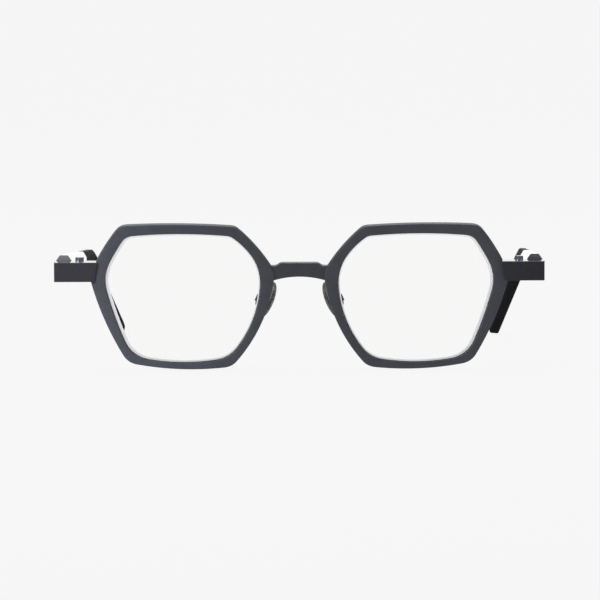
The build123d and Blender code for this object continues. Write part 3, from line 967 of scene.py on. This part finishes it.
@dataclass(frozen=True)
class Bridge:
    """The coated bar between the rims, flat above with a dip at each end and arched below."""

    top: float = 10.5 * MM
    dip: float = 0.9 * MM
    dip_start: float = 5.05 * MM
    dip_end: float = 7.15 * MM
    arch_middle: float = 6.4 * MM
    arch_rise: float = 1.7 * MM
    arch_reach: float = 9.375 * MM
    front: float = 0.45 * MM
    back: float = 3.25 * MM
    seam: float = 0.03 * MM
    steps: int = 36
    edges: Edges = Edges(0.2 * MM)

    def top_height(self, x: float) -> float:
        """The height of the upper edge at a place across."""
        share = min(max((x - self.dip_start) / (self.dip_end - self.dip_start), 0.0), 1.0)
        return self.top - self.dip * share * share * (3 - 2 * share)

    def arch_height(self, x: float) -> float:
        """The height of the lower edge at a place across, on one arc."""
        radius = (self.arch_reach**2 + self.arch_rise**2) / (2 * self.arch_rise)
        return self.arch_middle - radius + math.sqrt(radius**2 - x**2)

    def columns(self) -> list[tuple[Vector, Vector]]:
        """Pairs of points on the upper and the lower edge, from the left rim to the right one.

        Returns:
            The pairs, flat, following the rims' nasal walls at both ends.
        """
        walls = RimProbe().nasal([self.top - self.dip, self.arch_middle - self.arch_rise])
        right = []
        for step in range(self.steps + 1):
            high, low = ((wall - self.seam) * (step / self.steps) for wall in walls)
            upper = Vector((high, 0.0, self.top_height(high)))
            right.append((upper, Vector((low, 0.0, self.arch_height(low)))))
        left = [tuple(Vector((-p.x, 0.0, p.z)) for p in pair) for pair in reversed(right[1:])]
        return left + right

    def build(self) -> None:
        """Builds the bar and fastens it to the front."""
        shell = Shell()
        near, far = behind(self.front), behind(self.back)
        columns = self.columns()
        shell.loft([[upper + near, upper + far, lower + far, lower + near] for upper, lower in columns])
        bar = shell.piece("arched_bridge", FRONT, COATED_BRIDGE)
        fasten(bar, "front", "bridge_metal", "bridge", edges=self.edges)


@dataclass(frozen=True)
class Hinge:
    """The places that the hinge sets, in the right half's own axes."""

    end_back: float = 2.8 * MM
    end_centre: float = 8.15 * MM
    tilt: float = math.radians(6.5)
    slope: float = math.radians(8.5)
    pin_x: float = 64.9 * MM
    pin_behind: float = 1.6 * MM

    def leaning(self, angle: float) -> Matrix:
        """Axes at the middle of the end piece's back that lean by an angle in radians."""
        origin = Matrix.Translation((0.0, self.end_back, self.end_centre))
        return origin @ Matrix.Rotation(-angle, 4, "X")

    @property
    def frame(self) -> Matrix:
        """The hinge's own axes: the end piece's back is Y = 0 and the pin stands along Z."""
        return self.leaning(self.tilt)

    def folded(self, angle: float) -> Matrix:
        """The temple's own axes, with Y along it, folded in by an angle in radians."""
        pin = self.frame @ Matrix.Translation((self.pin_x, self.pin_behind, 0.0))
        return pin @ Matrix.Rotation(angle, 4, "Z") @ pin.inverted() @ self.leaning(self.slope)


HINGE = Hinge()


@dataclass(frozen=True)
class EndPiece:
    """The coated block beside a rim, proud of it in front, with a polished top."""

    side: Side
    outer_x: float = 72.3 * MM
    inner_x: float = 59.45 * MM
    slant: float = 1.1 * MM
    proud: float = 0.8 * MM
    height: float = 5.8 * MM
    edges: Edges = Edges(0.2 * MM)

    def ring(self, above: float) -> list[Vector]:
        """The block's outline seen from above.

        Args:
            above: Its height over the block's middle.

        Returns:
            The four corners.
        """
        inner = self.inner_x + self.slant * (0.5 - above / self.height)
        front, back = -self.proud, HINGE.end_back + above * math.tan(HINGE.tilt)
        corners = [(inner, front), (self.outer_x, front), (self.outer_x, back), (inner, back)]
        return [Vector((x, y, HINGE.end_centre + above)) for x, y in corners]

    def build(self) -> None:
        """Builds the block and fastens it to the front."""
        shell = Shell()
        low, high = shell.ring(self.ring(-self.height / 2)), shell.ring(self.ring(self.height / 2))
        shell.skin(low, high)
        shell.cap(low)
        shell.cap(high, 1)
        name, node = self.side.node("end_block"), self.side.node("end_piece")
        block = shell.piece(name, self.side.place, COATED_END_PIECE, POLISHED_FLANK)
        fasten(block, "front", "end_piece_metal", node, edges=self.edges)


@dataclass(frozen=True)
class Temple:
    """One black acetate temple: broad bevels above, bent down and inward to its tip."""

    side: Side
    centre_x: float = 69.45 * MM
    centre_z: float = 1.95 * MM
    butt_gap: float = 0.08 * MM
    front_size: Span = (4.8 * MM, 5.1 * MM)
    bend_size: Span = (3.6 * MM, 5.2 * MM)
    tip_size: Span = (3.0 * MM, 5.6 * MM)
    straight: float = 103.0 * MM
    tip_run: float = 28.6 * MM
    bend_radius: float = 20.0 * MM
    drop: float = math.radians(40.0)
    inward: float = math.radians(13.0)
    top_bevel_width_share: float = 0.25
    top_bevel_height_share: float = 0.33
    low_bevel_share: float = 0.12
    corner_round: float = 0.28 * MM
    corner_limit: float = 0.45
    corner_steps: int = 4
    tip_round: float = 0.6 * MM
    tip_round_steps: int = 5
    rivets: Span = (4.4 * MM, 9.0 * MM)
    rivet_face: float = 66.6 * MM
    rivet_height: float = 0.675 * MM
    rivet_head: Span = (0.9 * MM, 0.4 * MM)
    rivet_shank: Span = (0.55 * MM, 2.9 * MM)
    straight_steps: int = 24
    polished_steps: int = 15
    bend_steps: int = 26
    tip_steps: int = 12

    @property
    def place(self) -> Matrix:
        """Carries the temple's axes into the model's frame, folded in a little as it lies."""
        fold = {Side.RIGHT: 0.45, Side.LEFT: 2.2}[self.side]
        return self.side.place @ HINGE.folded(math.radians(fold))

    def section(self, thickness: float, height: float, inset: float = 0.0) -> list[Vector]:
        """The section across the temple, with its corners rounded.

        Args:
            thickness: Its width from side to side.
            height: Its height.
            inset: How far each side is drawn in, as at the rounded tip.

        Returns:
            The points, about the section's middle.
        """
        wide = self.top_bevel_width_share * thickness
        high = self.top_bevel_height_share * height
        low = self.low_bevel_share * thickness
        side, end = thickness / 2 - inset, height / 2 - inset
        half = [(side, low - end), (side, end - high), (side - wide, end)]
        flat = half + [(-x, z) for x, z in reversed(half)] + [(low - side, -end), (side - low, -end)]
        corners = [Vector((x, 0.0, z)) for x, z in flat]
        points = []
        for before, corner, after in zip(corners[-1:] + corners, corners, corners[1:] + corners[:1]):
            back, ahead = before - corner, after - corner
            limit = self.corner_limit * min(back.length, ahead.length)
            reach = min(self.corner_round, limit)
            start, stop = corner + back.normalized() * reach, corner + ahead.normalized() * reach
            for step in range(self.corner_steps + 1):
                share = step / self.corner_steps
                points.append(start.lerp(corner, share).lerp(corner.lerp(stop, share), share))
        return points

    def butted(self, point: Vector) -> Vector:
        """A point of the straight part moved along it onto the cut across its front end."""
        lean = HINGE.slope - HINGE.tilt
        return Vector((point.x, (self.butt_gap - point.z * math.sin(lean)) / math.cos(lean), point.z))

    def rings(self) -> list[list[Vector]]:
        """The temple's rings from its front end to its tip.

        Returns:
            One ring of points for each station.
        """
        origin = Vector((self.centre_x, 0.0, self.centre_z))
        rings = []
        for step in range(self.straight_steps + 1):
            share = step / self.straight_steps
            size = between(self.front_size, self.bend_size, share)
            ring = [origin + point for point in self.section(*size)]
            run = behind(self.straight * share)
            rings.append([point + run for point in ring] if step else [self.butted(p) for p in ring])
        level = math.cos(self.inward)
        way = Vector((-math.sin(self.inward), level * math.cos(self.drop), -level * math.sin(self.drop)))
        turn = way.angle(BACKWARD)
        into = Vector((way.x, 0.0, way.z)).normalized()
        axis = BACKWARD.cross(into)
        start = origin + behind(self.straight)
        centre = start + into * self.bend_radius
        bend = [start + point for point in self.section(*self.bend_size)]
        for step in range(1, self.bend_steps + 1):
            spin = Matrix.Rotation(turn * step / self.bend_steps, 3, axis)
            rings.append([centre + spin @ (point - centre) for point in bend])
        spin = Matrix.Rotation(turn, 3, axis)
        root = centre + spin @ (start - centre)
        flat = self.tip_run - self.tip_round
        for step in range(1, self.tip_steps + 1):
            run = flat * step / self.tip_steps
            size = between(self.bend_size, self.tip_size, run / self.tip_run)
            rings.append([root + way * run + spin @ point for point in self.section(*size)])
        for sine, cosine in rounding(0, 90, self.tip_round_steps)[1:]:
            run = flat + self.tip_round * sine
            section = self.section(*self.tip_size, self.tip_round * (1 - cosine))
            rings.append([root + way * run + spin @ point for point in section])
        return rings

    def set_rivets(self) -> None:
        """Sets out the two domed rivets through the hinge leaf."""
        name, sizes = self.side.node("domed_hinge_rivets"), (*self.rivet_head, *self.rivet_shank)
        kind = Fasteners(name, PLAIN_STEEL, *sizes, crown=0.0, slot_width=0.0)
        places = [self.place @ Matrix.Translation(behind(along)) for along in self.rivets]
        top = Vector((self.rivet_face, 0.0, self.rivet_height))
        kind.set_out(places, top, -SIDEWAYS, self.side.node("temple"), self.side.node("hinge_rivets"))

    def build(self) -> None:
        """Builds the temple, polished in front and satin behind, and fastens it to its own body."""
        shell = Shell()
        made = [shell.ring(points) for points in self.rings()]
        shell.chain(made, lambda number: 2 if number >= self.polished_steps else 0)
        shell.cap(made[0], 1)
        shell.cap(made[-1], 2)
        finishes = POLISHED_ACETATE, SAWN_ACETATE, SATIN_ACETATE
        temple = shell.piece(self.side.node("acetate_temple"), self.place, *finishes)
        fasten(temple, self.side.node("temple"), "temple_acetate", self.side.node("temple"))
        dress(self.side.node("temple_core_wire"), PLAIN_STEEL)
        dress(self.side.node("temple_hinge_leaf"), BRUSHED_HINGE)
        self.set_rivets()


@dataclass(frozen=True)
class NosePad:
    """One clear oval pad, crowned towards the nose, on its metal insert."""

    side: Side
    place_x: float = 9.1 * MM
    place_y: float = 8.8 * MM
    place_z: float = -2.2 * MM
    frontal: float = math.radians(24.0)
    splay: float = math.radians(25.0)
    length: float = 11.8 * MM
    width: float = 7.2 * MM
    thickness: float = 1.4 * MM
    crown: float = 45.0 * MM
    rim_round: float = 0.5 * MM
    round_steps: int = 5
    points: int = 96
    steps: int = 8

    @property
    def place(self) -> Matrix:
        """Carries the pad's axes into the model's frame.

        In them the nose face is at X = 0, the length lies up and the width front to back.

        Returns:
            Their place.
        """
        origin = Matrix.Translation((self.place_x, self.place_y, self.place_z))
        turn = Matrix.Rotation(-self.frontal, 4, "Y") @ Matrix.Rotation(-self.splay, 4, "Z")
        return self.side.place @ origin @ turn

    def ring(self, inset: float, share: float = 1.0, depth: float | None = None) -> list[Vector]:
        """One oval ring.

        Args:
            inset: How far it is drawn in from the pad's edge.
            share: Its size as a share of the drawn-in oval.
            depth: Its place through the pad, or None on the crowned face.

        Returns:
            The ring's points.
        """
        points = []
        for number in range(self.points):
            turn = math.tau * number / self.points
            y = (self.width / 2 - inset) * share * math.cos(turn)
            z = (self.length / 2 - inset) * share * math.sin(turn)
            crowned = self.crown - math.sqrt(self.crown**2 - y**2 - z**2)
            points.append(Vector((crowned if depth is None else depth, y, z)))
        return points

    def build(self) -> None:
        """Builds the pad, fastens it to the pad's body and finishes its insert and arm."""
        shell = Shell()
        edge, steps, back = self.rim_round, self.steps, self.thickness
        rings = [self.ring(edge, step / steps) for step in range(1, steps + 1)]
        for sine, cosine in rounding(0, 90, self.round_steps)[1:]:
            lip = self.ring(edge * (1 - sine))
            rings.append([point + SIDEWAYS * (edge * (1 - cosine)) for point in lip])
        for sine, cosine in rounding(0, 90, self.round_steps):
            rings.append(self.ring(edge * (1 - cosine), depth=back - edge * (1 - sine)))
        rings += [self.ring(edge, step / steps, back) for step in range(steps - 1, 0, -1)]
        made = [shell.ring(points) for points in rings]
        shell.chain(made)
        shell.pole(made[0], Vector())
        shell.pole(made[-1], SIDEWAYS * back)
        pad = shell.piece(self.side.node("clear_nose_pad"), self.place, CLEAR_PAD)
        fasten(pad, self.side.node("nose_pad"), "clear_pad", self.side.node("nose_pad"))
        dress(self.side.node("nose_pad_insert"), PLAIN_STEEL)
        dress(self.side.node("pad_arm"), GUNMETAL_WIRE)


@dataclass(frozen=True)
class FrontScrews:
    """The screws of the front: in the rims' backs, in both hinges and through both pad boxes."""

    head_radius: float = 0.8 * MM
    shank_radius: float = 0.5 * MM
    rim_head: float = 0.5 * MM
    hinge_radii: Span = (1.25 * MM, 0.65 * MM)
    hinge_head: float = 1.2 * MM
    hinge_span: Span = (-1.3 * MM, 3.9 * MM)
    pad_head: float = 0.35 * MM
    pad_span: Span = (-1.11 * MM, 1.46 * MM)
    pad_x: float = 2.6 * MM
    pad_z: float = -0.3 * MM

    def small(self, node: str, head_height: float, span: Span) -> Fasteners:
        """A node's small dark screws, by the height of their heads and the two ends of their reach."""
        sizes = self.head_radius, head_height, self.shank_radius, span[1] - span[0]
        return Fasteners("slotted_" + node, SCREW_STEEL, *sizes)

    def rim_screws(self, node: str) -> None:
        """Sets out the four screws of one node, sunk in the rims' backs.

        Args:
            node: The node's name.
        """
        found = islands(node)
        kind = self.small(node, self.rim_head, (found[0].low.y, found[0].high.y))
        spots = [Vector((one.middle.x, one.high.y, one.middle.z)) for one in found]
        places = [FRONT @ Matrix.Translation(spot) for spot in spots]
        kind.set_out(places, Vector(), BACKWARD, "front", node)

    def hinge_screws(self) -> None:
        """Sets out the two screws that the temples fold on, their heads above the end pieces."""
        (low, high), (head, shank) = self.hinge_span, self.hinge_radii
        kind = Fasteners("slotted_hinge_screws", BRUSHED_HINGE, head, self.hinge_head, shank, high - low)
        places = [side.place @ HINGE.frame for side in Side]
        top = Vector((HINGE.pin_x, HINGE.pin_behind, high))
        kind.set_out(places, top, UPWARD, "front", "hinge_screws")

    def pad_screws(self) -> None:
        """Sets out the two screws that the nose pads rock on."""
        kind = self.small("pad_screws", self.pad_head, self.pad_span)
        top = Vector((self.pad_x, self.pad_span[1], self.pad_z))
        kind.set_out([NosePad(side).place for side in Side], top, BACKWARD, "front", "pad_screws")

    def build(self) -> None:
        """Builds every screw of the front."""
        for node in ("bridge_screws", "end_piece_screws"):
            self.rim_screws(node)
        self.hinge_screws()
        self.pad_screws()


@dataclass(frozen=True)
class Studio:
    """The pale floor, the soft lights and the camera at the photograph's viewing angle.

    Where the light comes from is given as the direction's part along one axis, from -1 to 1.
    """

    camera_distance: float = 2.1
    camera_reach: float = 100.0
    pixel: float = 0.295 * MM
    picture: int = 600
    film: float = 36.0
    above: float = math.radians(9.8)
    aside: float = math.radians(0.26)
    roll: float = math.radians(-0.22)
    aim_x: float = 0.18 * MM
    aim_z: float = -0.45 * MM
    backdrop: float = 0.93
    floor_size: float = 60.0
    floor_matt: float = 0.03
    white_depths: Span = (-0.9, 0.2)
    white_levels: Span = (0.155, 0.95)
    white_sides: Span = (1.4, 0.6)
    mirrored_white: float = 1.6
    strip_edges: Span = (0.15, 0.20)
    strip_depths: Span = (0.7, 0.85)
    flag_depths: Span = (-0.2, 0.5)
    flag_levels: Span = (0.16, 0.03)
    glow_sides: Span = (0.45, 0.85)
    glow_slopes: Span = (0.04, 0.45)
    glow_level: float = 0.7
    key_place: Triple = (-0.42, -0.36, 0.34)
    key_size: float = 0.4
    key_power: float = 1.0
    top_place: Triple = (0.0, 0.25, 0.9)
    top_size: float = 0.8
    top_power: float = 4.0
    spot_place: Triple = (-0.45, -0.75, 0.45)
    spot_aim: Triple = (-0.088, -0.068, 0.006)
    spot_angle: float = math.radians(9.2)
    spot_size: float = 0.03
    spot_power: float = 30.0

    def make_camera(self) -> None:
        """Places the camera in front of the glasses."""
        aim = FRONT @ Vector((self.aim_x, 0.0, self.aim_z))
        level = math.cos(self.above)
        away = Vector((math.sin(self.aside) * level, -math.cos(self.aside) * level, math.sin(self.above)))
        away = (FRONT.to_3x3() @ away).normalized()
        data = bpy.data.cameras.new("camera")
        data.sensor_width = self.film
        data.lens = self.camera_distance / self.pixel * self.film / self.picture
        data.clip_end = self.camera_reach
        camera = link("camera", data)
        turn = away.to_track_quat("Z", "Y").to_matrix().to_4x4()
        roll = Matrix.Rotation(self.roll, 4, "Z")
        camera.matrix_world = Matrix.Translation(aim + away * self.camera_distance) @ turn @ roll
        bpy.context.scene.camera = camera

    def make_floor(self) -> None:
        """Lays the pale floor, which glows a little so that it stays even."""
        shell = Shell()
        half = self.floor_size / 2
        corners = [(-half, -half), (half, -half), (half, half), (-half, half)]
        shell.cap(shell.ring([Vector((x, y, 0.0)) for x, y in corners]))
        floor = shell.piece("floor", Matrix.Identity(4))
        material = bpy.data.materials.new("pale_floor")
        material.use_nodes = True
        graph = Graph(material.node_tree)
        matt = graph.add("ShaderNodeBsdfDiffuse", {"Color": (*(self.floor_matt,) * 3, 1.0)})
        lit = self.backdrop - self.floor_matt
        glow = graph.add("ShaderNodeEmission", {"Color": (lit, lit, lit, 1.0)})
        both = graph.add("ShaderNodeAddShader", {0: matt.outputs[0], 1: glow.outputs[0]})
        graph.add("ShaderNodeOutputMaterial", {"Surface": both.outputs[0]})
        floor.data.materials.append(material)
        floor.visible_glossy = False

    def make_world(self) -> None:
        """Surrounds the glasses with white, dimmer towards the camera and the right.

        Reflections see the white only in an upright strip behind the glasses, as between dark flags,
        and a soft glow above and below at both sides.
        """
        world = bpy.data.worlds.new("studio")
        bpy.context.scene.world = world
        world.use_nodes = True
        graph = Graph(world.node_tree)
        way = graph.add("ShaderNodeTexCoord").outputs["Generated"]
        parts = graph.add("ShaderNodeSeparateXYZ", {0: way}).outputs
        aside, slope = graph.compute("ABSOLUTE", parts["X"]), graph.compute("ABSOLUTE", parts["Z"])
        depths = graph.ramp(parts["Y"], self.white_depths, self.white_levels, soft=True)
        lit = graph.product(depths, graph.ramp(parts["X"], (-1.0, 1.0), self.white_sides))
        strip = graph.ramp(aside, self.strip_edges, (1.0, 0.0), soft=True)
        white = graph.product(strip, graph.ramp(parts["Y"], self.strip_depths))
        flags = graph.ramp(parts["Y"], self.flag_depths, self.flag_levels)
        beside = graph.ramp(aside, self.glow_sides, soft=True)
        risen = graph.ramp(slope, self.glow_slopes, (0.0, self.glow_level), soft=True)
        glow = graph.compute("MULTIPLY_ADD", beside, risen, flags)
        rays = graph.add("ShaderNodeLightPath").outputs
        mirrored = graph.mix(white, glow, self.mirrored_white)
        level = graph.mix(rays["Is Glossy Ray"], lit, mirrored)
        seen = graph.compute("MAXIMUM", rays["Is Camera Ray"], rays["Is Transmission Ray"])
        strength = graph.mix(seen, level, self.backdrop)
        background = graph.add("ShaderNodeBackground", {"Strength": strength})
        graph.add("ShaderNodeOutputWorld", {"Surface": background.outputs[0]})

    def hang(self, data: bpy.types.Light, place: Triple, aim: Triple = (0.0, 0.0, 0.0)) -> bpy.types.Object:
        """Hangs a light that the camera doesn't see.

        Args:
            data: The light.
            place: Its middle, in metres.
            aim: The point that it faces.

        Returns:
            The light's object.
        """
        light = link(data.name, data)
        turn = (Vector(place) - Vector(aim)).to_track_quat("Z", "Y").to_matrix().to_4x4()
        light.matrix_world = Matrix.Translation(place) @ turn
        light.visible_camera = False
        light.visible_transmission = False
        return light

    def make_softbox(self, name: str, place: Triple, size: float, power: float) -> None:
        """Hangs one square softbox that faces the glasses.

        Args:
            name: The light's name.
            place: Its middle, in metres.
            size: The length of its side.
            power: Its power in watts.
        """
        data = bpy.data.lights.new(name, "AREA")
        data.shape = "SQUARE"
        data.size = size
        data.energy = power
        self.hang(data, place)

    def make_side_spot(self) -> None:
        """Aims one soft spot at the left rim, which leaves the floor as it is."""
        data = bpy.data.lights.new("side_spot", "SPOT")
        data.energy = self.spot_power
        data.spot_size = self.spot_angle
        data.spot_blend = 1.0
        data.shadow_soft_size = self.spot_size
        light = self.hang(data, self.spot_place, self.spot_aim)
        light.visible_glossy = False
        lit = bpy.data.collections.new("spot_receivers")
        lit.objects.link(bpy.data.objects["floor"])
        lit.collection_objects[0].light_linking.link_state = "EXCLUDE"
        light.light_linking.receiver_collection = lit

    def build(self) -> None:
        """Sets up the whole studio."""
        bpy.context.scene.view_settings.view_transform = "Standard"
        self.make_camera()
        self.make_floor()
        self.make_world()
        self.make_softbox("key_softbox", self.key_place, self.key_size, self.key_power)
        self.make_side_spot()
        self.make_softbox("top_softbox", self.top_place, self.top_size, self.top_power)


def main() -> None:
    """Builds the studio and every sub-assembly."""
    logging.basicConfig(level=logging.INFO, format="%(name)s: %(message)s")
    Studio().build()
    Bridge().build()
    for side in Side:
        half = LensHalf(side)
        half.make_rim()
        half.make_lens()
        EndPiece(side).build()
        Temple(side).build()
        NosePad(side).build()
        dress(side.node("front_hinge_leaf"), BRUSHED_HINGE)
    FrontScrews().build()


if __name__ == "__main__":
    main()
